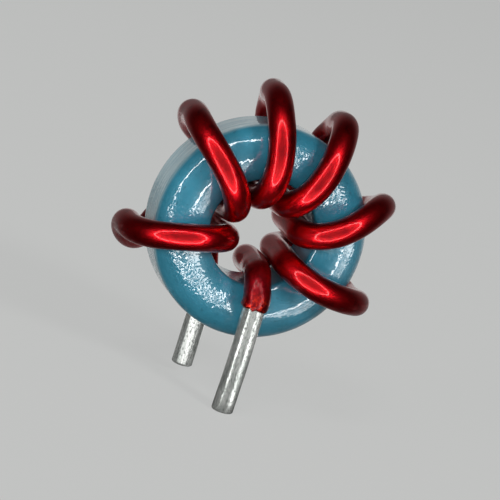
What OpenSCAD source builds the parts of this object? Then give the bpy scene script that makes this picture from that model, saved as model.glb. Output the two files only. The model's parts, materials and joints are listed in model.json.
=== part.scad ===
// Toroidal inductor: a coated ring core wound with one length of thick enamelled wire,
// whose two tinned ends are its board leads.
//
// Millimetres. The ring's axis lies along Y and its front face looks to -Y.
// The origin is where the front lead goes through the board's top face, and the
// ring stands on that face. Angles round the ring count from +X towards +Z.

/* [Ring core] */
// Outside diameter of the coated ring
core_d = 8; // [6.6:0.1:10]
// Diameter of the ring's bore
bore_d = 4; // [4:0.1:5]
// Height of the ring along its axis, over the crowned faces
core_h = 3; // [2.4:0.1:3.6]
// Height of the straight wall at the rim, between the crowned faces
rim_h = 1.6; // [1.4:0.1:2]
// Height of the straight wall in the bore
bore_h = 2.2; // [1.8:0.1:2.3]
// How far outside the middle of the wall the faces are highest
crown_offset = 0.02; // [-0.1:0.02:0.1]

/* [Wire] */
// Diameter of the wire over its enamel
wire_d = 1; // [0.6:0.05:1]
// Thickness of the enamel, which is stripped from the leads
enamel_t = 0.1; // [0.02:0.01:0.12]
// Clearance between the wire and the wall of the bore
bore_gap = 0.06; // [0.03:0.01:0.06]
// Clearance between the turns and the ring's front face
front_gap = 0.24; // [0.2:0.01:0.3]
// Clearance between the turns and the ring's rear face
rear_gap = 0.2; // [0.16:0.01:0.3]
// How far from the wire's pass through the bore a turn is highest, in front
front_crest = 1.4; // [1.25:0.05:1.45]

/* [Leads] */
// How far the front lead lies to the right of the ring's axis
front_lead_x = 0.2; // [0:0.05:0.5]
// How far the rear lead lies to the left of the ring's axis
rear_lead_x = 0.5; // [0.3:0.05:0.8]
// Length of the front lead below the board's top face
front_lead_length = 2.55; // [1:0.05:6]
// Length of the rear lead below the board's top face
rear_lead_length = 2.2; // [1:0.05:6]
// Length of straight enamelled wire on the front lead, below its bend
front_enamel_run = 0.1; // [0.05:0.05:0.4]
// Height above the board at which the rear lead's enamel ends
rear_strip_height = 0.5; // [0.2:0.05:0.8]
// Chamfer at the tip of each lead
tip_chamfer = 0.08; // [0.02:0.01:0.15]
// How much thicker the tin is where a lead goes into its enamel
tin_swell = 0.02; // [0.01:0.01:0.04]

/* [Hidden] */

// One value a turn, from the front lead round to the rear lead. The turns are bent by
// hand, so they are uneven.
// Where the turn crosses the rim, and where it then goes down through the bore
rim_angles = [338, 383, 426, 459.5, 495, 552];
bore_angles = [321, 373, 425, 469, 512, 555.5];
// How much further round the turn is where it comes up behind the rim, and how much
// less far round where it goes down in front of it
rear_leans = [2, -7, -7, -6, 1, 15];
front_leans = [-3, -9, -3, -2, -3, -1];
// How much further round each turn is in the middle of the bore than where it comes out
bore_twist = 7;
// How far the turn stands off the rim, and how much further in than the bore's own gap
// it passes
rim_gaps = [0.22, 0.24, 0.42, 0.5, 0.34, 0.3];
bore_insets = [0, 0.05, 0.1, 0.03, 0, 0.08];

// The front lead's place in the bore, its twist there, and the leads' gap to the faces
lead_bore_angle = 274;
lead_twist = 11;
lead_inset = 0.02;
lead_gap = 0.1;
// The rear lead runs down to a soft knee this far above the end of its enamel
knee_rise = 0.25;
knee_bend = 0.45;
// How far a lead's bare copper reaches up inside the enamel, and how far above the board
// its straight pin ends
lead_root = 0.3;
pin_rise = 0.1;

// How much nearer its pass a turn is highest behind than in front, how far below the bore's
// edge its bend begins, and how high its bend over the rim begins at least and rises
rear_crest_back = 0.3;
bore_bend_drop = 0.22;
least_straight = 0.35;
rim_bend_rise = 1.95;
// How much of its height behind counts as width in which the wire crosses over
rear_start = 0.2;

core_r = core_d / 2;
wall_w = (core_d - bore_d) / 2;
wire_r = wire_d / 2;
lead_r = wire_r - enamel_t;
turns = len(rim_angles);

crown_at = core_r - wall_w / 2 + crown_offset;

// The wire's centre line: its radius in the bore, the leads' bend over the bore's edge,
// how far from its pass a turn is highest behind, how far it is straight beside the bore
// and the rim, how far in its bend over the rim starts at most, the width in which it
// crosses over behind, and its heights
pass_r = bore_d / 2 - wire_r - bore_gap;
bore_bend = wire_d;
rear_crest = front_crest - rear_crest_back;
bore_straight = bore_h / 2 - bore_bend_drop;
rim_straight = max(least_straight, (core_h + rim_h) / 2 - rim_bend_rise);
rim_bend = core_r - crown_at + 1.5 * wire_d;
crossing = wall_w + 0.8 * wire_d;
front_y = core_h / 2 + wire_r + front_gap;
rear_y = core_h / 2 + wire_r + rear_gap;
lead_y = core_h / 2 + wire_r + lead_gap;

// Rings of points in each quarter bend, and sides of the wire's tube
bend_steps = 6;
wire_sides = 14;
round_fn = 96;

function unit(v) = v / norm(v);
function at(radius, angle) = radius * [cos(angle), sin(angle)];
function turned(v, angle) =
    [v.x * cos(angle) - v.y * sin(angle), v.x * sin(angle) + v.y * cos(angle)];
function eased(s) = s < 1 ? s ^ 2 * (3 - 2 * s) : 1;
function backwards(list) = [for (i = [len(list) - 1:-1:0]) list[i]];
function without_last(list) = [for (i = [0:len(list) - 2]) list[i]];
// How far round an angle lies past a point, from 0 up to a full turn
function angle_past(v, angle) =
    let (gap = angle - atan2(v.y, v.x))
    gap - 360 * floor(gap / 360);

// Half a turn from the middle of the bore to the middle of the rim, as reach and height:
// an oval bend over the bore's edge up to the crest, and another down over the rim's edge,
// with a straight run between them on a wide ring
function half_section(reach, height, crest) =
    let (fall = min(reach - crest, rim_bend))
    concat(
        [[0, 0]],
        [for (i = [0:bend_steps]) let (a = 90 * i / bend_steps)
            [crest * (1 - cos(a)), bore_straight + (height - bore_straight) * sin(a)]],
        fall < reach - crest ? [[reach - fall, height]] : [],
        [for (i = [1:bend_steps]) let (a = 90 * i / bend_steps)
            [reach - fall * (1 - sin(a)), rim_straight + (height - rim_straight) * cos(a)]],
        [[reach, 0]]
    );

// In front the wire runs straight from its place on the rim, and turns in the bore
function front_half(pass, rim_r, rim_angle, lean) =
    let (run = at(rim_r, rim_angle) - pass, reach = norm(run))
    [for (p = half_section(reach, front_y, front_crest))
        let (share = p.x / reach)
        let (turn = (lean * share + bore_twist * (1 - share)) * p.y / front_y)
        let (q = turned(pass + run * share, -turn))
        [q.x, -p.y, q.y]];

// Behind, it leaves its pass squarely, crosses over and comes up square to the rim
function rear_half(pass, rim_r, rim_angle, lean, front_lean) =
    let (start = rim_angle - angle_past(pass, rim_angle))
    [for (p = half_section(rim_r - norm(pass), rear_y, rear_crest))
        let (up = p.y / rear_y)
        let (way = rim_angle + front_lean * up + (lean - front_lean) * eased(up) - start)
        let (share = eased((p.x + rear_start * p.y) / (crossing + rear_start * rear_y)))
        let (q = at(norm(pass) + p.x, start + way * share))
        [q.x, p.y, q.y]];

// A lead from the middle of the bore over the bore's edge, in a bend that reaches along run
function lead_bend(pass, run, twist, side) = concat(
    [[pass.x, 0, pass.y]],
    [for (i = [0:bend_steps]) let (a = 90 * i / bend_steps, up = lead_y - bore_bend * (1 - sin(a)))
        let (p = turned(pass, side * twist * eased(cos(a)) * up / lead_y) + run * (1 - cos(a)))
        [p.x, side * up, p.y]]
);

// Where the wire passes through the bore: the front lead first, then each turn
passes = concat(
    [at(pass_r - lead_inset, lead_bore_angle + lead_twist)],
    [for (k = [0:turns - 1]) at(pass_r - bore_insets[k], bore_angles[k] + bore_twist)]
);

front_strip_height = core_r + passes[0].y - bore_bend - front_enamel_run;
front_foot = [front_lead_x, front_strip_height - core_r];
front_run = front_foot - passes[0];
front_end = concat(
    lead_bend(passes[0], front_run - front_enamel_run * unit(front_run), lead_twist, -1),
    [[front_foot.x, -lead_y, front_foot.y]]
);

knee = [-rear_lead_x, rear_strip_height + knee_rise - core_r];
knee_way = unit(knee - passes[turns]);
rear_end = concat(
    lead_bend(passes[turns], bore_bend * knee_way, 0, 1),
    [for (t = [0:0.25:1])
        let (p = knee - (1 - t) ^ 2 * knee_bend * knee_way + t ^ 2 * knee_bend * [0, -1])
        [p.x, lead_y, p.y]]
);

route = concat(
    without_last(backwards(front_end)),
    [for (k = [0:turns - 1]) let (rim_r = core_r + wire_r + rim_gaps[k]) each concat(
        without_last(rear_half(passes[k], rim_r, rim_angles[k], rear_leans[k], front_leans[k])),
        without_last(backwards(front_half(passes[k + 1], rim_r, rim_angles[k], front_leans[k])))
    )],
    rear_end
);

// A round tube swept along a list of points, with its rings carried along without twist
module tube(points, radius) {
    n = len(points);
    ways = [for (i = [0:n - 1]) unit(points[min(i + 1, n - 1)] - points[max(i - 1, 0)])];
    sides = [for (i = 0, s = [1, 0, 0]; i < n; i = i + 1,
        s = unit(s - (s * ways[min(i, n - 1)]) * ways[min(i, n - 1)])) s];
    rings = [for (i = [0:n - 1]) for (j = [0:wire_sides - 1])
        let (a = 360 * j / wire_sides, up = cross(ways[i], sides[i]))
        points[i] + radius * (cos(a) * sides[i] + sin(a) * up)];
    polyhedron(rings, concat(
        [[for (j = [0:wire_sides - 1]) j]],
        [for (i = [0:n - 2]) for (j = [0:wire_sides - 1])
            let (a = i * wire_sides + j, b = i * wire_sides + (j + 1) % wire_sides)
            [a + wire_sides, b + wire_sides, b, a]],
        [[for (j = [wire_sides - 1:-1:0]) (n - 1) * wire_sides + j]]
    ));
}

// Stands the ring on the board, with the front lead's axis at the origin
module on_board() {
    translate([-front_lead_x, lead_y, core_r]) children();
}

// The ring's section from its crown to the edge at edge_r, where its wall is edge_h high,
// on one side of its middle height. The face falls to that edge in an arc.
module half_wall(edge_r, edge_h) {
    width = abs(edge_r - crown_at);
    drop = (core_h - edge_h) / 2;
    arc_r = (width ^ 2 + drop ^ 2) / (2 * drop);
    translate([min(edge_r, crown_at), 0]) square([width, edge_h / 2]);
    intersection() {
        translate([min(edge_r, crown_at), 0]) square([width, core_h / 2]);
        translate([crown_at, core_h / 2 - arc_r]) circle(arc_r, $fn = round_fn);
    }
}

module half_section_of_ring() {
    half_wall(core_r, rim_h);
    half_wall(bore_d / 2, bore_h);
}

module core() {
    color("steelblue") on_board() rotate([90, 0, 0]) rotate_extrude($fn = round_fn) {
        half_section_of_ring();
        mirror([0, 1]) half_section_of_ring();
    }
}

// A tinned lead from inside the enamel down to its chamfered tip below the board. It is a
// straight pin below the board, and its tin thickens above it.
module lead(strip_height, length) {
    translate([0, 0, pin_rise])
        cylinder(h = strip_height + lead_root - pin_rise, r1 = lead_r, r2 = lead_r + tin_swell,
            $fn = round_fn);
    translate([0, 0, tip_chamfer - length])
        cylinder(h = pin_rise + length - tip_chamfer, r = lead_r, $fn = round_fn);
    translate([0, 0, -length])
        cylinder(h = tip_chamfer, r1 = lead_r - tip_chamfer, r2 = lead_r, $fn = round_fn);
}

module winding() {
    color("firebrick") on_board() tube(route, wire_r);
    color("silver") {
        lead(front_strip_height, front_lead_length);
        translate([-front_lead_x - rear_lead_x, 2 * lead_y, 0])
            lead(rear_strip_height, rear_lead_length);
    }
}

core();
winding();
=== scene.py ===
"""Toroidal inductor: a coated ring wound with thick enamelled wire, on two tinned leads.

Lengths are in millimetres until mesh_piece() turns them into metres. The ring's axis lies
along Y, its front faces -Y, and the front lead goes through the board at the origin.
"""

import json
import math

import bpy
import numpy as np
from mathutils import Matrix, Vector, noise


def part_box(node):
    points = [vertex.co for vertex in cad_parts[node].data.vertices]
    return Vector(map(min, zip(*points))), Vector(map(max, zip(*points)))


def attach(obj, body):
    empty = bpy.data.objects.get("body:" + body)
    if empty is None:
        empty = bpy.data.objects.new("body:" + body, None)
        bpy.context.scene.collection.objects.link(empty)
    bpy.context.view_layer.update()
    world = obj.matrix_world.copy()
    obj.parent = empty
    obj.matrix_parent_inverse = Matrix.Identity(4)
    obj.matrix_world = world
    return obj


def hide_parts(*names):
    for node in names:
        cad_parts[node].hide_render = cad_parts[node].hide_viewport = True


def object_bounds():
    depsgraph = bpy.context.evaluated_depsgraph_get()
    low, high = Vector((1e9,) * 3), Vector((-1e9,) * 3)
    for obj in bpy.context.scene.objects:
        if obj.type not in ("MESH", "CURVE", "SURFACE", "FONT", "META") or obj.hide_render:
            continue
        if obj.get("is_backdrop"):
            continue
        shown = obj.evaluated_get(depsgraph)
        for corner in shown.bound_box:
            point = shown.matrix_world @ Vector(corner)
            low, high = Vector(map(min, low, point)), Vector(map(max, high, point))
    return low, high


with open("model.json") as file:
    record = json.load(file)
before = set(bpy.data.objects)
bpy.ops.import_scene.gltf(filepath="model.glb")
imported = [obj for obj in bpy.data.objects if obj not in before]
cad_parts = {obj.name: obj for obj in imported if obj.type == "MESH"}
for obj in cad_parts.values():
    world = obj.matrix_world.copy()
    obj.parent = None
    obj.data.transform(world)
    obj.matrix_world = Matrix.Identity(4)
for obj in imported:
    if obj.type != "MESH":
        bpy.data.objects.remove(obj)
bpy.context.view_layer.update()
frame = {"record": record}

MM = 0.001

# ---- Sizes ----

# The ring's place and outer size and the leads' places come from the CAD model. Its meshes
# have flat facets, so what is measured on them is rounded.
CORE_BOX = np.array(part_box("core")) / MM
RING_CENTRE = np.round(CORE_BOX.mean(axis=0), 1)
CORE_R = round((CORE_BOX[1][2] - CORE_BOX[0][2]) / 2, 1)
CORE_H = round(CORE_BOX[1][1] - CORE_BOX[0][1], 1)
PINS = {mount["name"]: mount for mount in frame["record"]["mounts"]}
FRONT_FOOT = np.array(PINS["front_lead"]["pos_m"][:2]) / MM
REAR_FOOT = np.array(PINS["rear_lead"]["pos_m"][:2]) / MM
LEAD_R = PINS["front_lead"]["dims"]["r_mm"]

BORE_R = 2.0
RIM_H = 1.6
BORE_H = 2.2
CROWN_R = 3.02
WIRE_R = 0.5
FRONT_LEAD_LENGTH = 2.55
REAR_LEAD_LENGTH = 2.2
REAR_STRIP_HEIGHT = 0.5
FRONT_ENAMEL_RUN = 0.1
# how far from the wire's stripped ends the heat has wrinkled the enamel, and at the front one
# darkened it too
SCORCH_REACH = 2.4


# ---- Small helpers ----

def unit(v):
    return v / np.linalg.norm(v)


def eased(s):
    """0 to 1 with a gentle start and end."""
    s = min(max(s, 0.0), 1.0)
    return s * s * (3 - 2 * s)


def relief(points, height, size, seed, octaves=1):
    """Smooth noise of up to about height mm each way at each point, with features size mm across."""
    shift = Vector((seed * 17.3, seed * -9.1, seed * 5.7))
    values = np.empty(len(points))
    for i, p in enumerate(points):
        place = Vector(p) / size + shift
        if octaves == 1:
            values[i] = noise.noise(place)
        else:
            values[i] = noise.fractal(place, 0.7, 2.0, octaves)
    return height * values


def mesh_piece(name, vertices, faces, material, uvs=None):
    """A smooth-shaded mesh object. vertices are in mm, and uvs is one pair a face corner."""
    mesh = bpy.data.meshes.new(name)
    mesh.from_pydata((np.asarray(vertices, float) * MM).tolist(), [], faces)
    mesh.polygons.foreach_set("use_smooth", [True] * len(mesh.polygons))
    if uvs is not None:
        layer = mesh.uv_layers.new(name="UVMap")
        layer.data.foreach_set("uv", np.asarray(uvs, np.float32).ravel())
    mesh.materials.append(material)
    mesh.update()
    piece = bpy.data.objects.new(name, mesh)
    bpy.context.scene.collection.objects.link(piece)
    return piece


def grid_faces(rows, columns, closed_rows=False):
    """Quads over a grid of vertices whose columns close on themselves, as its rows may too."""
    faces = []
    for i in range(rows if closed_rows else rows - 1):
        for j in range(columns):
            a, b = i * columns, (i + 1) % rows * columns
            k = (j + 1) % columns
            faces.append((a + j, b + j, b + k, a + k))
    return faces


# ---- Materials ----

def linear(hex_colour):
    """The linear colour of an sRGB hex value."""
    parts = [int(hex_colour[i:i + 2], 16) / 255 for i in (1, 3, 5)]
    return tuple(c / 12.92 if c <= 0.04045 else ((c + 0.055) / 1.055) ** 2.4 for c in parts) + (1.0,)


def add(tree, kind, settings=None, **inputs):
    """Adds a node and gives back its first live output.

    inputs are values, or sockets to link, by the input's name with _ for its spaces. Of two
    inputs with one name, the second goes by its identifier, such as Value_001.
    """
    node = tree.nodes.new("ShaderNode" + kind)
    for key, value in (settings or {}).items():
        setattr(node, key, value)
    for key, value in inputs.items():
        socket = next(s for s in node.inputs
                      if s.enabled and key in (s.name.replace(" ", "_"), s.identifier))
        if isinstance(value, bpy.types.NodeSocket):
            tree.links.new(value, socket)
        else:
            socket.default_value = value
    return next((s for s in node.outputs if s.enabled), None)


def new_material(name, **constants):
    """A material, its tree, its shader's inputs with these constants set, and places in mm."""
    material = bpy.data.materials.new(name)
    material.use_nodes = True
    tree = material.node_tree
    shader = tree.nodes["Principled BSDF"].inputs
    for key, value in constants.items():
        shader[key.replace("_", " ")].default_value = value
    metres = add(tree, "TexCoord").node.outputs["Object"]
    places = add(tree, "VectorMath", {"operation": "SCALE"}, Vector=metres, Scale=1 / MM)
    return material, tree, shader, places


def tinted(tree, base, colour, pattern, low, high, most=1.0):
    """The base with a hex colour over it: none where the pattern is low, most where it is high."""
    share = add(tree, "MapRange", Value=pattern, From_Min=low, From_Max=high, To_Max=most)
    return add(tree, "Mix", {"data_type": "RGBA"}, Factor=share, A=base, B=linear(colour))


# The coating's patterns, in mm across. The streaks in the rim's painted pale reflection are long: they run
# round the ring.
# Real powder grains are about half as wide as the grit, which is drawn coarser to show.
COLOUR_DRIFT = 1.1
PALE_GRAIN = 0.12
DARK_SPECK = 0.16
RIM_LINE = 0.13
RIM_LINE_STRETCH = (0.1, 1.0, 0.1)
SPRAY_DRIFT = 0.9
ORANGE_PEEL = 0.2
SANDY_GRIT = 0.1
ORANGE_PEEL_DEPTH = 0.005
SANDY_GRIT_DEPTH = 0.0145
# the rim's painted pale reflection starts and is at its full this far inside the ring's outer radius
RIM_EDGE = 0.07
RIM_FULL = 0.02
# the powder came from the upper right and the lower left, and a sandy skin begins and is at
# its full this far from the middle of the ring
SPRAYED_WAY = (0.71, 0.0, 0.71)
SANDY_FROM = 1.1
SANDY_FULL = 2.8


def rim_share(tree, centred):
    """1 on the ring's straight outer wall and 0 elsewhere, from the distance to its axis."""
    flat = add(tree, "VectorMath", {"operation": "MULTIPLY"}, Vector=centred, Vector_001=(1.0, 0.0, 1.0))
    distance = add(tree, "VectorMath", {"operation": "LENGTH"}, Vector=flat)
    return add(tree, "MapRange", Value=distance, From_Min=CORE_R - RIM_EDGE, From_Max=CORE_R - RIM_FULL)


def sprayed_share(tree, places, centred):
    """About 1 where the powder lies thick and sandy, and 0 or less where it has flowed smooth."""
    sideways = add(tree, "VectorMath", {"operation": "DOT_PRODUCT"}, Vector=centred, Vector_001=SPRAYED_WAY)
    outward = add(tree, "Math", {"operation": "ABSOLUTE"}, Value=sideways)
    reached = add(tree, "MapRange", Value=outward, From_Min=SANDY_FROM, From_Max=SANDY_FULL)
    drift = add(tree, "TexNoise", Vector=places, Scale=1 / SPRAY_DRIFT, Detail=2.0)
    uneven = add(tree, "MapRange", Value=drift, From_Min=0.3, From_Max=0.7, To_Min=-0.4, To_Max=0.3)
    return add(tree, "Math", {"operation": "ADD"}, Value=reached, Value_001=uneven)


def ring_coating():
    """Epoxy powder coating, baked on: a deep glossy teal with a fine orange peel.

    Its outer wall is painted pale as a grazing reflection, and where the powder lies thick its skin is
    sandy and sparkles.
    """
    material, tree, shader, places = new_material(
        "epoxy_ring_coating", Roughness=0.42, IOR=1.5, Coat_Weight=1.0, Coat_Roughness=0.05,
        Coat_IOR=1.8)
    drift = add(tree, "TexNoise", Vector=places, Scale=1 / COLOUR_DRIFT, Detail=3.0)
    grain = add(tree, "TexNoise", Vector=places, Scale=1 / PALE_GRAIN, Detail=2.0)
    specks = add(tree, "TexNoise", Vector=places, Scale=1 / DARK_SPECK, Detail=0.0)
    base = tinted(tree, linear("#226A7F"), "#2C7990", drift, 0.3, 0.7)
    base = tinted(tree, base, "#3A8AA0", grain, 0.35, 0.75, 0.25)
    base = tinted(tree, base, "#1B4658", specks, 0.74, 0.8, 0.3)
    centred = add(tree, "VectorMath", {"operation": "SUBTRACT"}, Vector=places,
                  Vector_001=tuple(RING_CENTRE))
    # painted reflection: the rim wall is painted pale grey in streaks round the ring, as if the bright
    # background shone in it at a grazing angle
    long_places = add(tree, "VectorMath", {"operation": "MULTIPLY"}, Vector=places,
                      Vector_001=RIM_LINE_STRETCH)
    lines = add(tree, "TexNoise", Vector=long_places, Scale=1 / RIM_LINE, Detail=3.0)
    streaked_sheen = add(tree, "MapRange", Value=lines, From_Min=0.3, From_Max=0.7, To_Min=0.1, To_Max=0.6)
    painted_rim_sheen = add(tree, "Math", {"operation": "MULTIPLY"}, Value=rim_share(tree, centred), Value_001=streaked_sheen)
    base = add(tree, "Mix", {"data_type": "RGBA"}, Factor=painted_rim_sheen, A=base, B=linear("#A9BCBC"))
    tree.links.new(base, shader["Base Color"])

    peel = add(tree, "TexNoise", Vector=places, Scale=1 / ORANGE_PEEL, Detail=1.0)
    grit = add(tree, "TexNoise", Vector=places, Scale=1 / SANDY_GRIT, Detail=0.0)
    skin = add(tree, "MapRange", Value=sprayed_share(tree, places, centred), From_Min=0.25,
               From_Max=0.85, To_Min=0.1, To_Max=1.0)
    sandy = add(tree, "Math", {"operation": "MULTIPLY"}, Value=grit, Value_001=skin)
    soft = add(tree, "Bump", Height=peel, Distance=ORANGE_PEEL_DEPTH * MM)
    sharp = add(tree, "Bump", Height=sandy, Distance=SANDY_GRIT_DEPTH * MM, Normal=soft)
    tree.links.new(soft, shader["Normal"])
    tree.links.new(sharp, shader["Coat Normal"])
    return material


# The wire's patterns, in mm across. Lines left by the drawing die are far finer than this on
# real copper, and are drawn coarse enough to show.
DRAWN_LINE = 0.09
DRAWN_LINE_STRETCH = (0.12, 1.0, 1.0)
ENAMEL_DRIFT = 0.7
SMOKE = 0.45
CRUMPLE = 0.16
ENAMEL_WAVE = 0.35
DRAWN_LINE_DEPTH = 0.0015
CRUMPLE_DEPTH = 0.022
# how high the enamel's slow waves are beside the creases at its scorched end
WAVE_SHARE = 0.08
# how much rougher the metal looks under scorched enamel
SCORCHED_ROUGHER = 0.1
# the last stretch of enamel, where it melted, and where that is at its full
MELTED_FROM = 0.5
MELTED_FULL = 0.15


def wire_enamel():
    """Clear red polyurethane enamel over drawn copper: a deep metallic red under a hard gloss.

    Next to the front lead the heat has dulled and wrinkled it, and turned its edge orange.
    """
    material, tree, shader, places = new_material(
        "enamelled_copper_wire", Metallic=1.0, Coat_Weight=1.0, Coat_Roughness=0.06, Coat_IOR=1.27)
    uv = add(tree, "UVMap")
    from_end = add(tree, "SeparateXYZ", Vector=uv)
    long_uv = add(tree, "VectorMath", {"operation": "MULTIPLY"}, Vector=uv, Vector_001=DRAWN_LINE_STRETCH)
    drawn = add(tree, "TexNoise", Vector=long_uv, Scale=1 / DRAWN_LINE, Detail=2.0)
    drift = add(tree, "TexNoise", Vector=places, Scale=1 / ENAMEL_DRIFT, Detail=3.0)
    smoky = add(tree, "TexNoise", Vector=places, Scale=1 / SMOKE, Detail=3.0, Roughness=0.65)
    crumpled = add(tree, "TexNoise", Vector=places, Scale=1 / CRUMPLE, Detail=3.0, Roughness=0.6,
                   Distortion=0.6)
    scorched = add(tree, "MapRange", Value=from_end, From_Min=SCORCH_REACH,
                   From_Max=0.5 * SCORCH_REACH)
    base = tinted(tree, linear("#C80E1A"), "#D8181F", drift, 0.3, 0.7)
    base = tinted(tree, base, "#A00A16", drawn, 0.45, 0.8, 0.35)
    base = tinted(tree, base, "#7A0812", smoky, 0.5, 0.7, 0.55)
    dulled = tinted(tree, linear("#780C14"), "#A21420", crumpled, 0.3, 0.7)
    base = add(tree, "Mix", {"data_type": "RGBA"}, Factor=scorched, A=base, B=dulled)
    edge = add(tree, "MapRange", Value=from_end, From_Min=MELTED_FROM, From_Max=MELTED_FULL)
    blots = add(tree, "MapRange", Value=crumpled, From_Min=0.45, From_Max=0.65)
    melted = add(tree, "Math", {"operation": "MULTIPLY"}, Value=edge, Value_001=blots)
    base = add(tree, "Mix", {"data_type": "RGBA"}, Factor=melted, A=base, B=linear("#F0361C"))
    tree.links.new(base, shader["Base Color"])

    rough = add(tree, "MapRange", Value=drift, From_Min=0.3, From_Max=0.7, To_Min=0.33, To_Max=0.38)
    duller = add(tree, "Math", {"operation": "MULTIPLY"}, Value=scorched, Value_001=SCORCHED_ROUGHER)
    rough = add(tree, "Math", {"operation": "ADD"}, Value=rough, Value_001=duller)
    tree.links.new(rough, shader["Roughness"])
    lines = add(tree, "Bump", Height=drawn, Distance=DRAWN_LINE_DEPTH * MM, Strength=0.5)
    tree.links.new(lines, shader["Normal"])
    wave = add(tree, "TexNoise", Vector=places, Scale=1 / ENAMEL_WAVE, Detail=1.0)
    waves = add(tree, "Math", {"operation": "MULTIPLY"}, Value=wave, Value_001=WAVE_SHARE)
    creases = add(tree, "Math", {"operation": "MULTIPLY"}, Value=crumpled, Value_001=scorched)
    skin = add(tree, "Math", {"operation": "ADD"}, Value=waves, Value_001=creases)
    skin = add(tree, "Bump", Height=skin, Distance=CRUMPLE_DEPTH * MM, Strength=0.8)
    tree.links.new(skin, shader["Coat Normal"])
    return material


# The tin's patterns, in mm across, and how much each is drawn out down the lead. Its crystals
# are really finer than this grain, which is drawn coarse enough to show.
TIN_RUN = 0.07
TIN_RUN_STRETCH = (1.0, 1.0, 0.07)
TIN_GRAIN = 0.055
TIN_GRAIN_STRETCH = (1.0, 1.0, 0.5)
TIN_DRIFT = 0.5
TIN_DRIFT_STRETCH = (1.0, 1.0, 0.4)
TIN_DEPTH = 0.009


def lead_tin():
    """Dipped tin over copper: bright and smooth, with a fine grain and faint runs along it."""
    material, tree, shader, places = new_material("tinned_copper_lead", Metallic=0.75)
    patterns = []
    for size, stretch, detail, roughness in ((TIN_RUN, TIN_RUN_STRETCH, 3.0, 0.6),
                                             (TIN_GRAIN, TIN_GRAIN_STRETCH, 2.0, 0.6),
                                             (TIN_DRIFT, TIN_DRIFT_STRETCH, 2.0, 0.5)):
        long_places = add(tree, "VectorMath", {"operation": "MULTIPLY"}, Vector=places,
                          Vector_001=stretch)
        patterns.append(add(tree, "TexNoise", Vector=long_places, Scale=1 / size, Detail=detail,
                            Roughness=roughness))
    runs, grain, drift = patterns
    base = tinted(tree, linear("#C8CCC8"), "#ECEEEA", drift, 0.35, 0.65)
    base = tinted(tree, base, "#7A817B", runs, 0.48, 0.7, 0.55)
    base = tinted(tree, base, "#505852", grain, 0.52, 0.66, 0.72)
    tree.links.new(base, shader["Base Color"])
    rough = add(tree, "MapRange", Value=drift, From_Min=0.3, From_Max=0.7, To_Min=0.27, To_Max=0.2)
    tree.links.new(rough, shader["Roughness"])
    low_grain = add(tree, "Math", {"operation": "MULTIPLY"}, Value=grain, Value_001=0.5)
    skin = add(tree, "Math", {"operation": "ADD"}, Value=runs, Value_001=low_grain)
    skin = add(tree, "Bump", Height=skin, Distance=TIN_DEPTH * MM, Strength=0.8)
    tree.links.new(skin, shader["Normal"])
    return material


# ---- The ring ----

RING_STEPS = 396
# points on the bore's wall, on the slopes inside and outside the crown, and on the rim
BORE_POINTS = 20
INNER_POINTS = 40
OUTER_POINTS = 46
RIM_POINTS = 18
EDGE_ROUNDINGS = 5
# the coating's relief in the mesh: soft orange peel and slow waves, as (height, size, seed)
SOFT_PEEL = (0.0022, 0.26, 1)
SLOW_WAVES = (0.006, 1.6, 2)


def ring_profile():
    """The ring's section as points (radius, height), from the bore round by the front."""
    def arc(edge_r, edge_h):
        width = abs(edge_r - CROWN_R)
        drop = (CORE_H - edge_h) / 2
        return (width ** 2 + drop ** 2) / (2 * drop)

    outer, inner = arc(CORE_R, RIM_H), arc(BORE_R, BORE_H)
    half = []
    for h in np.linspace(0, BORE_H / 2, BORE_POINTS, endpoint=False):
        half.append((BORE_R, h))
    for r in np.linspace(BORE_R, CROWN_R, INNER_POINTS, endpoint=False):
        half.append((r, CORE_H / 2 - inner + math.sqrt(inner ** 2 - (r - CROWN_R) ** 2)))
    tilt = math.asin((CORE_R - CROWN_R) / outer)
    for a in np.linspace(0, tilt, OUTER_POINTS, endpoint=False):
        half.append((CROWN_R + outer * math.sin(a), CORE_H / 2 - outer + outer * math.cos(a)))
    for h in np.linspace(RIM_H / 2, 0, RIM_POINTS):
        half.append((CORE_R, h))
    half = np.array(half)
    other = half[-2:0:-1] * [1, -1]
    closed = np.vstack([half, other])
    # the coating pulls back from sharp edges, which rounds them
    for _ in range(EDGE_ROUNDINGS):
        closed = (closed + np.roll(closed, 1, 0) + np.roll(closed, -1, 0)) / 3
    return closed


def revolved(pairs):
    """The (radius, height) pairs turned about the ring's axis, row by row, height towards -Y."""
    angles = np.linspace(0, 2 * math.pi, RING_STEPS, endpoint=False)
    radius, height = pairs[:, 0], pairs[:, 1]
    rows = np.stack([np.outer(np.cos(angles), radius), np.tile(-height, (RING_STEPS, 1)),
                     np.outer(np.sin(angles), radius)], axis=2)
    return rows.reshape(-1, 3)


def make_ring(material):
    profile = ring_profile()
    ahead = np.roll(profile, -1, 0) - np.roll(profile, 1, 0)
    ahead /= np.linalg.norm(ahead, axis=1)[:, None]
    out = np.stack([ahead[:, 1], -ahead[:, 0]], axis=1)
    inside = [CROWN_R, 0]
    out *= np.sign(((profile - inside) * out).sum(1))[:, None]
    points, normals = revolved(profile), revolved(out)
    # powder that has flowed when baked leaves a low, soft orange peel and slow waves
    peel = relief(points, *SOFT_PEEL) + relief(points, *SLOW_WAVES)
    points = points + normals * peel[:, None] + RING_CENTRE
    faces = grid_faces(RING_STEPS, len(profile), closed_rows=True)
    return mesh_piece("coated_ring", points, faces, material)


# ---- The wire ----

# One row a turn, from the front lead round to the rear lead: where it crosses the rim and
# where it then goes down through the bore, in degrees, how far it leans behind the rim and
# in front of it, and its gaps to the rim and to the wall of the bore
TURNS = [
    (338, 321, 2, -3, 0.22, 0.00),
    (383, 373, -7, -9, 0.24, 0.05),
    (426, 425, -7, -3, 0.42, 0.10),
    (459.5, 469, -6, -2, 0.50, 0.03),
    (495, 512, 1, -3, 0.34, 0.00),
    (552, 555.5, 15, -1, 0.30, 0.08),
]
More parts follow.
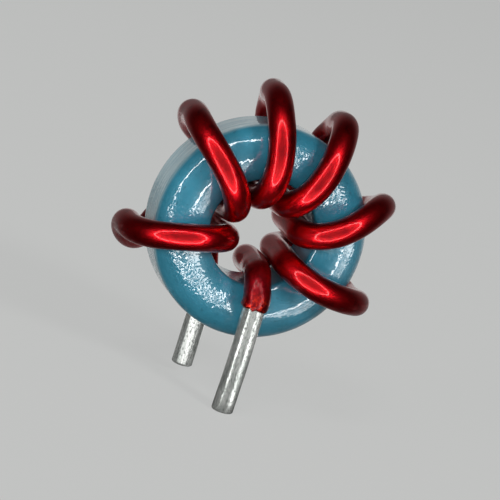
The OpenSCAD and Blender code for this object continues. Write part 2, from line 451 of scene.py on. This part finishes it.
# the gaps between the wire and the bore's wall, the ring's front and its back
BORE_GAP = 0.06
FRONT_GAP = 0.24
REAR_GAP = 0.2
# how far round the bore a pass has turned, in degrees, where it comes out at the front
TWIST = 7
# the front lead's pass: where it goes through the bore, its own turn, and how far it is drawn in
LEAD_BORE_ANGLE = 274
LEAD_TWIST = 11
LEAD_INSET = 0.02
# how far out from its pass a turn is highest, before the ring and behind it
FRONT_CREST = 1.4
REAR_CREST = 1.1
# how far from the ring's middle plane a turn stays straight in the bore and on the rim
BORE_STRAIGHT = 0.88
RIM_STRAIGHT = 0.35
# the knee where the wire turns down into the rear lead: its height over REAR_STRIP_HEIGHT, and
# how far its bend reaches each way
KNEE_RISE = 0.25
KNEE_BEND = 0.45
PASS_R = BORE_R - WIRE_R - BORE_GAP
BORE_BEND = 2 * WIRE_R
# how far outwards a turn goes behind the ring while it steps aside
CROSSING = CORE_R - BORE_R + 1.6 * WIRE_R
FRONT_Y = CORE_H / 2 + WIRE_R + FRONT_GAP
REAR_Y = CORE_H / 2 + WIRE_R + REAR_GAP
# both leads stand this far from the ring's middle plane
LEAD_Y = RING_CENTRE[1] - FRONT_FOOT[1]
FRONT_STRIP_HEIGHT = (CORE_R + PASS_R * math.sin(math.radians(LEAD_BORE_ANGLE))
                      - BORE_BEND - FRONT_ENAMEL_RUN)
# a quarter of a circle in 24 steps
QUARTER = [math.pi / 2 * i / 24 for i in range(25)]


def at(radius, degrees):
    """The place (x, z) at this distance and angle round the ring's axis."""
    a = math.radians(degrees)
    return np.array([radius * math.cos(a), radius * math.sin(a)])


def turned(v, degrees):
    """A place (x, z) turned about the ring's axis."""
    a = math.radians(degrees)
    return np.array([v[0] * math.cos(a) - v[1] * math.sin(a),
                     v[0] * math.sin(a) + v[1] * math.cos(a)])


def half_section(reach, height, crest):
    """Half a turn from the middle of the bore over its crest to the middle of the rim."""
    points = [(0, 0)]
    points += [(crest * (1 - math.cos(a)),
                BORE_STRAIGHT + (height - BORE_STRAIGHT) * math.sin(a)) for a in QUARTER]
    points += [(crest + (reach - crest) * math.sin(a),
                RIM_STRAIGHT + (height - RIM_STRAIGHT) * math.cos(a)) for a in QUARTER]
    return points + [(reach, 0)]


def front_half(start, rim_r, rim_angle, lean):
    """A turn's half before the ring, from its pass through the bore out to the rim."""
    run = at(rim_r, rim_angle) - start
    reach = np.linalg.norm(run)
    points = []
    for along, up in half_section(reach, FRONT_Y, FRONT_CREST):
        share = along / reach
        turn = (lean * share + TWIST * (1 - share)) * up / FRONT_Y
        q = turned(start + run * share, -turn)
        points.append((q[0], -up, q[1]))
    return points


def rear_half(start, rim_r, rim_angle, lean, front_lean):
    """A turn's half behind the ring, where the wire also steps on to the next turn."""
    r0 = np.linalg.norm(start)
    start_angle = math.degrees(math.atan2(start[1], start[0]))
    start_angle = rim_angle - (rim_angle - start_angle) % 360
    points = []
    for along, up in half_section(rim_r - r0, REAR_Y, REAR_CREST):
        share = up / REAR_Y
        # it steps aside as it goes outwards, and a little as it rises
        way = rim_angle + front_lean * share + (lean - front_lean) * eased(share) - start_angle
        q = at(r0 + along, start_angle + way * eased((along + up / 5) / (CROSSING + REAR_Y / 5)))
        points.append((q[0], up, q[1]))
    return points


def lead_bend(start, run, twist, height, side):
    """The bend from a pass through the bore to a lead, before (-1) or behind (1) the ring."""
    points = [(start[0], 0, start[1])]
    for a in QUARTER:
        share = 1 - math.cos(a)
        up = height - BORE_BEND * (1 - math.sin(a))
        p = turned(start, side * twist * eased(1 - share) * up / height) + run * share
        points.append((p[0], side * up, p[1]))
    return points


def wire_route():
    """The wire's centre line from the front lead's enamel end to the rear lead's."""
    passes = [at(PASS_R - LEAD_INSET, LEAD_BORE_ANGLE + LEAD_TWIST)]
    passes += [at(PASS_R - row[5], row[1] + TWIST) for row in TURNS]
    foot = np.array([FRONT_FOOT[0] - RING_CENTRE[0], passes[0][1] - BORE_BEND - FRONT_ENAMEL_RUN])
    run = foot - passes[0]
    front_end = lead_bend(passes[0], run - FRONT_ENAMEL_RUN * unit(run), LEAD_TWIST, LEAD_Y, -1)
    front_end.append((foot[0], -LEAD_Y, foot[1]))
    route = front_end[::-1]
    for k, (rim, _, rear_lean, front_lean, rim_gap, _) in enumerate(TURNS):
        rim_r = CORE_R + WIRE_R + rim_gap
        route += rear_half(passes[k], rim_r, rim, rear_lean, front_lean)[1:]
        route += front_half(passes[k + 1], rim_r, rim, front_lean)[::-1][1:]
    knee = np.array([REAR_FOOT[0] - RING_CENTRE[0], REAR_STRIP_HEIGHT + KNEE_RISE - CORE_R])
    knee_way = unit(knee - passes[-1])
    route += lead_bend(passes[-1], BORE_BEND * knee_way, 0, LEAD_Y, 1)[1:]
    for t in np.linspace(0, 1, 9):
        p = knee - (1 - t) ** 2 * KNEE_BEND * knee_way + t ** 2 * KNEE_BEND * np.array([0, -1])
        route.append((p[0], LEAD_Y, p[1]))
    return np.array(route) + RING_CENTRE


def resampled(points, spacing):
    """The same line with its points spacing apart."""
    steps = np.linalg.norm(np.diff(points, axis=0), axis=1)
    keep = np.concatenate([[True], steps > 1e-6])
    points = points[keep]
    along = np.concatenate([[0], np.cumsum(np.linalg.norm(np.diff(points, axis=0), axis=1))])
    places = np.linspace(0, along[-1], int(round(along[-1] / spacing)) + 1)
    return np.stack([np.interp(places, along, points[:, i]) for i in range(3)], axis=1)


def softened(points, spacing, width):
    """The line with its corners softened over about width mm, and its ends kept."""
    reach = int(3 * width / spacing)
    weights = np.exp(-0.5 * (np.arange(-reach, reach + 1) * spacing / width) ** 2)
    weights /= weights.sum()
    before = 2 * points[0] - points[reach:0:-1]
    after = 2 * points[-1] - points[-2:-reach - 2:-1]
    padded = np.vstack([before, points, after])
    return np.stack([np.convolve(padded[:, i], weights, "valid") for i in range(3)], axis=1)


def carried_frames(points):
    """The line's directions, with two square sides carried along it without twist."""
    ways = np.gradient(points, axis=0)
    ways /= np.linalg.norm(ways, axis=1)[:, None]
    side = unit(np.cross(ways[0], [0.0, 1.0, 0.0]))
    sides = np.empty_like(points)
    for i, way in enumerate(ways):
        side = unit(side - side.dot(way) * way)
        sides[i] = side
    return ways, sides, np.cross(ways, sides)


WIRE_SIDES = 40
LINE_SPACING = 0.03
CORNER_SOFTENING = 0.16
RING_SPACING = 0.085
# how far along the wire its ragged ends pull the mesh, and how far they have blistered
END_REACH = 1.1
BLISTER_REACH = 0.75
BLISTER_HEIGHT = 0.012
# the stripped ends' outline, as (height, size), and how far each end slants, with its seed
RAGGED = (0.11, 0.8)
TORN = (0.08, 0.25)
SLANT_ANGLE = 0.8
FRONT_END = (0.12, 11)
REAR_END = (0.08, 14)
# the wire's relief in the mesh, as (height, size, seed): hand winding leaves it very slightly
# uneven, and the stripped ends have blistered, wrinkled and creased
UNEVEN = (0.004, 0.9, 21)
WRINKLES = (0.022, 0.17, 31)
BLISTERS = (0.02, 0.4, 32)
CREASES = (0.014, 0.3, 33)
CREASE_OCTAVES = 3
# the enamel's lip: its depth, how far it tucks under the lead's surface, its steps in degrees,
# and how far its pattern runs on
LIP_DEPTH = 0.07
LIP_TUCK = 0.03
LIP_STEPS = (25, 50, 75, 90)
LIP_UV_RUN = 0.05


def ragged_edge(angles, slant, seed):
    """How far past its last ring each side of the enamel reaches at a stripped end, in mm."""
    circle = np.stack([np.cos(angles), np.sin(angles), np.zeros_like(angles)], axis=1)
    return (slant * np.cos(angles - SLANT_ANGLE) + relief(circle, *RAGGED, seed)
            + relief(circle, *TORN, seed + 1))


def enamel_lip(centres, outward, skin, way):
    """Rings that turn the enamel's edge in to the bare metal as a rounded lip."""
    reach = np.linalg.norm(skin - centres, axis=1)
    inner = LEAD_R - LIP_TUCK
    rings = []
    for a in np.radians(LIP_STEPS):
        r = inner + (reach - inner) * math.cos(a)
        rings.append(centres + outward * r[:, None] + LIP_DEPTH * math.sin(a) * way)
    return rings


def make_wire(material):
    line = resampled(wire_route(), LINE_SPACING)
    line = softened(line, LINE_SPACING, CORNER_SOFTENING)
    line = resampled(line, RING_SPACING)
    ways, sides, ups = carried_frames(line)
    count = len(line)
    along = np.arange(count) * RING_SPACING
    length = along[-1]
    angles = np.linspace(0, 2 * math.pi, WIRE_SIDES, endpoint=False)
    outward = (np.cos(angles)[None, :, None] * sides[:, None, :]
               + np.sin(angles)[None, :, None] * ups[:, None, :])

    # the mesh is pulled along the wire near its ends, to make their edges ragged
    over = np.zeros((count, WIRE_SIDES))
    for ends_at, shift in ((0.0, -ragged_edge(angles, *FRONT_END)),
                           (length, ragged_edge(angles, *REAR_END))):
        near = np.clip(1 - np.abs(along - ends_at) / END_REACH, 0, 1)
        over += near[:, None] ** 1.5 * shift[None, :]
    points = line[:, None, :] + over[:, :, None] * ways[:, None, :]
    flat = (points + WIRE_R * outward).reshape(-1, 3)

    from_end = np.minimum(along, length - along)
    blistered = np.repeat(np.clip(1 - from_end / BLISTER_REACH, 0, 1) ** 0.8, WIRE_SIDES)
    creased = np.repeat(np.clip(2 - 2 * from_end / SCORCH_REACH, 0, 1), WIRE_SIDES)
    radius = (WIRE_R + relief(flat, *UNEVEN)
              + blistered * (BLISTER_HEIGHT + relief(flat, *WRINKLES) + relief(flat, *BLISTERS))
              + creased * relief(flat, *CREASES, CREASE_OCTAVES))
    flat = points.reshape(-1, 3) + radius[:, None] * outward.reshape(-1, 3)
    skin = flat.reshape(count, WIRE_SIDES, 3)

    front_lip = enamel_lip(points[0], outward[0], skin[0], -ways[0])[::-1]
    rear_lip = enamel_lip(points[-1], outward[-1], skin[-1], ways[-1])
    rings = front_lip + list(skin) + rear_lip
    faces = grid_faces(len(rings), WIRE_SIDES)
    # u is how far along the wire from the front lead, and v is how far round it, both in mm
    row_u = [-LIP_UV_RUN] * len(front_lip) + list(along) + [length + LIP_UV_RUN] * len(rear_lip)
    around = 2 * math.pi * WIRE_R / WIRE_SIDES
    uvs = []
    for i in range(len(rings) - 1):
        for j in range(WIRE_SIDES):
            uvs += [(row_u[i], j * around), (row_u[i + 1], j * around),
                    (row_u[i + 1], (j + 1) * around), (row_u[i], (j + 1) * around)]
    return mesh_piece("enamelled_wire", np.vstack(rings), faces, material, uvs)


# ---- The leads ----

LEAD_SIDES = 72
LEAD_ROW_SPACING = 0.035
LEAD_SWELL = 0.02
TIP_DEPTH = 0.07
# how far the lead goes on inside its enamel
ENAMEL_OVERLAP = 0.3
FRONT_BOW = (0.03, 0.0)
REAR_BOW = (0.0, 0.0)
# the tin has run down the lead as it cooled: its ridges and slower waves as (height, size), and
# how much each is drawn out down the lead; then the burr that the cutter left
TIN_RIDGES = (0.0025, 0.11)
TIN_RIDGE_STRETCH = (1, 1, 0.12)
TIN_WAVES = (0.006, 0.3)
TIN_WAVE_STRETCH = (1, 1, 0.4)
BURR = (0.008, 0.12)
# the cut tip's rings: how far each lies inside the lead's surface, and how far down
TIP_RINGS = ((0.02, 0.028), (0.05, 0.05), (0.09, 0.062), (0.16, 0.066), (0.28, 0.066))


def make_lead(name, foot, top, length, bow, seed, material):
    """A tinned end of the wire, from inside its enamel down to its cut tip below the board.

    foot is where it crosses the board, and bow is how far its middle stands aside, both (x, y).
    """
    below = length - TIP_DEPTH
    angles = np.linspace(0, 2 * math.pi, LEAD_SIDES, endpoint=False)
    circle = np.stack([np.cos(angles), np.sin(angles)], axis=1)
    rings = []
    for z in np.linspace(top, -below, int((top + below) / LEAD_ROW_SPACING)):
        share = (top - z) / (top + below)
        middle = foot + np.array(bow) * math.sin(math.pi * share)
        heights = np.full(LEAD_SIDES, z)
        surface = np.column_stack([circle * LEAD_R, heights])
        ridges = (relief(surface * TIN_RIDGE_STRETCH, *TIN_RIDGES, seed)
                  + relief(surface * TIN_WAVE_STRETCH, *TIN_WAVES, seed + 1))
        r = LEAD_R + LEAD_SWELL * max(0.0, z / top) + ridges
        rings.append(np.column_stack([middle[0] + circle[:, 0] * r,
                                      middle[1] + circle[:, 1] * r, heights]))
    # the cutter leaves a rounded edge and a faint burr
    last = rings[-1]
    middle = last.mean(axis=0)
    for inset, drop in TIP_RINGS:
        ring = last.copy()
        ring[:, :2] = middle[:2] + (last[:, :2] - middle[:2]) * (1 - inset / LEAD_R)
        ring[:, 2] = middle[2] + (last[:, 2] - middle[2]) * (1 - inset / LEAD_R) - drop
        ring[:, 2] += relief(ring, *BURR, seed + 3)
        rings.append(ring)
    faces = grid_faces(len(rings), LEAD_SIDES)
    faces.append(tuple((len(rings) - 1) * LEAD_SIDES + j for j in range(LEAD_SIDES)))
    faces.append(tuple(reversed(range(LEAD_SIDES))))
    return mesh_piece(name, np.vstack(rings), faces, material)


# ---- Camera ----

LENS = 158.4
SENSOR = 36.0
VIEW_TURN = math.radians(-18)
VIEW_RISE = math.radians(9.8)
VIEW_ROLL = math.radians(17.5)
VIEW_DISTANCE = 80.9
# how far the middle of the view lies from the ring's centre
AIM_RIGHT = -0.1985
AIM_UP = -0.8566
BACK = Vector((math.sin(VIEW_TURN) * math.cos(VIEW_RISE),
               -math.cos(VIEW_TURN) * math.cos(VIEW_RISE), math.sin(VIEW_RISE)))
LEVEL_RIGHT = Vector((math.cos(VIEW_TURN), math.sin(VIEW_TURN), 0.0))
LEVEL_UP = BACK.cross(LEVEL_RIGHT)
RIGHT = LEVEL_RIGHT * math.cos(VIEW_ROLL) + LEVEL_UP * math.sin(VIEW_ROLL)
UP = LEVEL_UP * math.cos(VIEW_ROLL) - LEVEL_RIGHT * math.sin(VIEW_ROLL)


def place_camera():
    data = bpy.data.cameras.new("camera")
    data.lens = LENS
    data.sensor_width = SENSOR
    data.clip_start = 0.001
    data.clip_end = 50.0
    camera = bpy.data.objects.new("camera", data)
    bpy.context.scene.collection.objects.link(camera)
    place = (Vector(RING_CENTRE) + BACK * VIEW_DISTANCE + RIGHT * AIM_RIGHT + UP * AIM_UP) * MM
    turn = Matrix((RIGHT, UP, BACK)).transposed()
    camera.matrix_world = Matrix.Translation(place) @ turn.to_4x4()
    bpy.context.scene.camera = camera


# ---- Light ----

BACKGROUND = "#C3C4C3"
FLOOR_CLOTH = "#666766"
WHITE = (1, 1, 1, 1)
LENS_BLACK = (0.012, 0.013, 0.015, 1)
FLOOR_SIZE = 3000.0
FLOOR_CLEARANCE = 0.03
# the strength of the world and the floor, to the eye and as light on the object
WORLD_SEEN = 1.0
WORLD_LIT = 0.26
FLOOR_SEEN = 0.84
FLOOR_LIT = 0.66
LAMP_DISTANCE = 420
# how far the side lamps stand aside, as a share of how far they stand before the ring
SIDE_LAMP_SHARE = 0.9
STRIP_DISTANCE = 1.8
STRIP_STEPS = 8
# how the hood brightens from beside the ring to behind it
HOOD_FROM = 0.1
HOOD_FULL = 0.75
HOOD_LEAST = 0.16
HOOD_POWER = 2.2


def background_strength(tree, seen, lit):
    """One strength for camera, mirror and glass rays, and another for light on a surface."""
    path = add(tree, "LightPath").node.outputs
    direct = add(tree, "Math", {"operation": "MAXIMUM"}, Value=path["Is Camera Ray"],
                 Value_001=path["Is Glossy Ray"])
    direct = add(tree, "Math", {"operation": "MAXIMUM"}, Value=direct,
                 Value_001=path["Is Transmission Ray"])
    return add(tree, "MapRange", Value=direct, From_Min=0.0, From_Max=1.0, To_Min=lit, To_Max=seen)


def light_material(name, colour, strength, clear=False):
    """A glowing surface, which is see-through as well where it is clear."""
    material = bpy.data.materials.new(name)
    material.use_nodes = True
    tree = material.node_tree
    tree.nodes.clear()
    glow = add(tree, "Emission", Color=colour, Strength=strength)
    if clear:
        glow = add(tree, "AddShader", Shader=glow, Shader_001=add(tree, "BsdfTransparent"))
    add(tree, "OutputMaterial", Surface=glow)
    return material


def hood_material(name, strength, clear):
    """Dark round the view and paler towards the background behind the ring."""
    hood = light_material(name, linear(BACKGROUND), 1.0, clear)
    tree = hood.node_tree
    centred = add(tree, "VectorMath", {"operation": "SUBTRACT"},
                  Vector=add(tree, "TexCoord").node.outputs["Object"],
                  Vector_001=tuple(RING_CENTRE * MM))
    way = add(tree, "VectorMath", {"operation": "NORMALIZE"}, Vector=centred)
    behind = add(tree, "VectorMath", {"operation": "DOT_PRODUCT"}, Vector=way, Vector_001=tuple(-BACK))
    share = add(tree, "MapRange", Value=behind, From_Min=HOOD_FROM, From_Max=HOOD_FULL,
                To_Min=HOOD_LEAST)
    rising = add(tree, "Math", {"operation": "POWER"}, Value=share, Value_001=HOOD_POWER)
    glow = add(tree, "Math", {"operation": "MULTIPLY"}, Value=rising, Value_001=strength)
    tree.links.new(glow, tree.nodes["Emission"].inputs["Strength"])
    return hood


def mirrored_only(piece, pieces=None):
    """Makes a piece a light that shows in gloss alone: on the pieces given, or else on all."""
    piece.visible_camera = False
    piece.visible_shadow = False
    piece.visible_diffuse = False
    piece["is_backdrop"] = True
    if pieces:
        shine_only_on(piece, pieces)


def shine_only_on(light, pieces):
    """Links a light so that it lights these pieces and no others."""
    receivers = bpy.data.collections.new(light.name + "_receivers")
    for piece in pieces:
        receivers.objects.link(piece)
    light.light_linking.receiver_collection = receivers


def stage_patch(name, material, floor_z, radius, tilts, steps, turns=(0, 360), slide=0.0,
                pieces=None):
    """Part of a sphere round the ring, by tilt from the view's axis and turn about it.

    slide is how many degrees further from the axis the patch lies at its last turn.
    """
    floor_gap = RING_CENTRE[2] - floor_z - FLOOR_CLEARANCE
    vertices = []
    for i in range(steps[0] + 1):
        for j in range(steps[1] + 1):
            tilt = math.radians(tilts[0] + (tilts[1] - tilts[0]) * i / steps[0]
                                + slide * j / steps[1])
            turn = math.radians(turns[0] + (turns[1] - turns[0]) * j / steps[1])
            way = (BACK * math.cos(tilt)
                   + (RIGHT * math.cos(turn) + UP * math.sin(turn)) * math.sin(tilt))
            reach = radius if way.z >= 0 else min(radius, floor_gap / -way.z)
            vertices.append(tuple(np.array(RING_CENTRE) + np.array(way) * reach))
    wide = steps[1] + 1
    faces = [(i * wide + j, i * wide + j + 1, (i + 1) * wide + j + 1, (i + 1) * wide + j)
             for i in range(steps[0]) for j in range(steps[1])]
    mirrored_only(mesh_piece(name, vertices, faces, material), pieces)


def lead_strip(name, lead, foot, turns, top, strength, floor_z):
    """An upright strip of light before a lead, turned from the view and mirrored in it alone."""
    flat_back = Vector((BACK.x, BACK.y, 0)).normalized()
    vertices = []
    for z in (floor_z + FLOOR_CLEARANCE, top):
        for turn in np.radians(np.linspace(turns[0], turns[1], STRIP_STEPS + 1)):
            way = (flat_back * math.cos(turn) + LEVEL_RIGHT * math.sin(turn)) * STRIP_DISTANCE
            vertices.append((foot[0] + way.x, foot[1] + way.y, z))
    wide = STRIP_STEPS + 1
    faces = [(i, i + 1, i + wide + 1, i + wide) for i in range(STRIP_STEPS)]
    material = light_material(name, WHITE, strength, clear=True)
    mirrored_only(mesh_piece(name, vertices, faces, material), [lead])


def soft_lamp(name, way, width, strength):
    """A round soft lamp that lights the object but isn't mirrored in it."""
    data = bpy.data.lights.new(name, "AREA")
    data.shape = "DISK"
    data.size = width * MM
    # the power at which a white surface that faces the lamp is as bright as strength
    data.energy = strength * (math.pi * LAMP_DISTANCE * MM) ** 2
    lamp = bpy.data.objects.new(name, data)
    bpy.context.scene.collection.objects.link(lamp)
    way = Vector(way).normalized()
    lamp.location = (Vector(RING_CENTRE) + way * LAMP_DISTANCE) * MM
    lamp.rotation_euler = way.to_track_quat("Z", "Y").to_euler()
    lamp.visible_camera = False
    lamp.visible_glossy = False
    return lamp


def make_background(floor_z):
    """A pale world, and a floor that looks the same and keeps the object's shadow."""
    world = bpy.data.worlds.new("studio")
    bpy.context.scene.world = world
    world.use_nodes = True
    back = world.node_tree.nodes["Background"].inputs
    back["Color"].default_value = linear(BACKGROUND)
    world.node_tree.links.new(background_strength(world.node_tree, WORLD_SEEN, WORLD_LIT),
                              back["Strength"])
    material = bpy.data.materials.new("studio_floor")
    material.use_nodes = True
    tree = material.node_tree
    tree.nodes.clear()
    cloth = add(tree, "BsdfDiffuse", Color=linear(FLOOR_CLOTH))
    glow = add(tree, "Emission", Color=linear(BACKGROUND),
               Strength=background_strength(tree, FLOOR_SEEN, FLOOR_LIT))
    add(tree, "OutputMaterial", Surface=add(tree, "AddShader", Shader=cloth, Shader_001=glow))
    corners = [(x * FLOOR_SIZE, y * FLOOR_SIZE, floor_z) for x, y in ((-1, -1), (1, -1), (1, 1), (-1, 1))]
    floor = mesh_piece("studio_floor", corners, [(0, 1, 2, 3)], material)
    floor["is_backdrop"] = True


def make_stage(ring, wire, front_lead, rear_lead):
    """The studio: lamps that light the object, and patches of light that its gloss shows."""
    floor_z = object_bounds()[0][2] / MM
    make_background(floor_z)

    soft_lamp("front_lamp", BACK, width=130, strength=0.44)
    for name, turn, strength in (("left_lamp", 165, 0.33), ("upper_lamp", 90, 0.14),
                                 ("right_lamp", 15, 0.42)):
        a = math.radians(turn)
        aside = SIDE_LAMP_SHARE * (RIGHT * math.cos(a) + UP * math.sin(a))
        soft_lamp(name, BACK + aside, width=110, strength=strength)
    rear_lamp = soft_lamp("rear_lamp", UP - BACK, width=200, strength=0.5)
    shine_only_on(rear_lamp, [ring, wire, front_lead, rear_lead])

    # a ring light round the lens, and a panel at the lower right that the wire is too rough to show
    stage_patch("ring_light", light_material("ring_light", WHITE, strength=12.0), floor_z, radius=66,
                tilts=(40.0, 43.5), steps=(1, 96), pieces=[ring, wire])
    stage_patch("side_panel", light_material("side_panel", WHITE, strength=6.5), floor_z, radius=72,
                tilts=(44.5, 73), steps=(8, 10), turns=(-58, -16), slide=8.0,
                pieces=[ring, rear_lead])
    for name, lead, foot, turns, top, strength in (
            ("left_strip", front_lead, FRONT_FOOT, (-36, -29), 1.6, 6.0),
            ("right_strip", front_lead, FRONT_FOOT, (38, 74), 1.6, 1.9),
            ("front_strip", front_lead, FRONT_FOOT, (-20, 110), 1.6, 0.16),
            ("rear_strip", rear_lead, REAR_FOOT, (-48, 36), -0.05, 1.5)):
        lead_strip(name, lead, foot, turns, top, strength, floor_z)

    # what else the gloss shows of the room: dark round the view, pale behind, and the dark lens
    stage_patch("dark_hood", hood_material("dark_hood", 0.3, clear=False), floor_z, radius=76,
                tilts=(43.5, 155), steps=(16, 96))
    stage_patch("rear_glow", hood_material("rear_glow", 0.7, clear=True), floor_z, radius=74,
                tilts=(90, 155), steps=(16, 96), pieces=[ring])
    stage_patch("rear_sheen", light_material("rear_sheen", WHITE, 1.8, clear=True), floor_z,
                radius=72, tilts=(150, 178), steps=(4, 96), pieces=[front_lead, rear_lead])
    stage_patch("dark_lens", light_material("dark_lens", LENS_BLACK, strength=1.0), floor_z,
                radius=64, tilts=(0, 40), steps=(4, 96))
    stage_patch("lens_sheen", light_material("lens_sheen", WHITE, 0.37, clear=True), floor_z,
                radius=62, tilts=(0, 40), steps=(4, 96), pieces=[wire])


# ---- Everything together ----

coating = ring_coating()
enamel = wire_enamel()
tin = lead_tin()

place_camera()
ring = make_ring(coating)
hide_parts("core")

wire = make_wire(enamel)
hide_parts("winding")

front_lead = make_lead("front_lead", FRONT_FOOT, FRONT_STRIP_HEIGHT + ENAMEL_OVERLAP,
                       FRONT_LEAD_LENGTH, FRONT_BOW, 41, tin)
rear_lead = make_lead("rear_lead", REAR_FOOT, REAR_STRIP_HEIGHT + ENAMEL_OVERLAP,
                      REAR_LEAD_LENGTH, REAR_BOW, 51, tin)

for piece in (ring, wire, front_lead, rear_lead):
    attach(piece, "root")

make_stage(ring, wire, front_lead, rear_lead)
bpy.context.scene.view_settings.view_transform = "Standard"
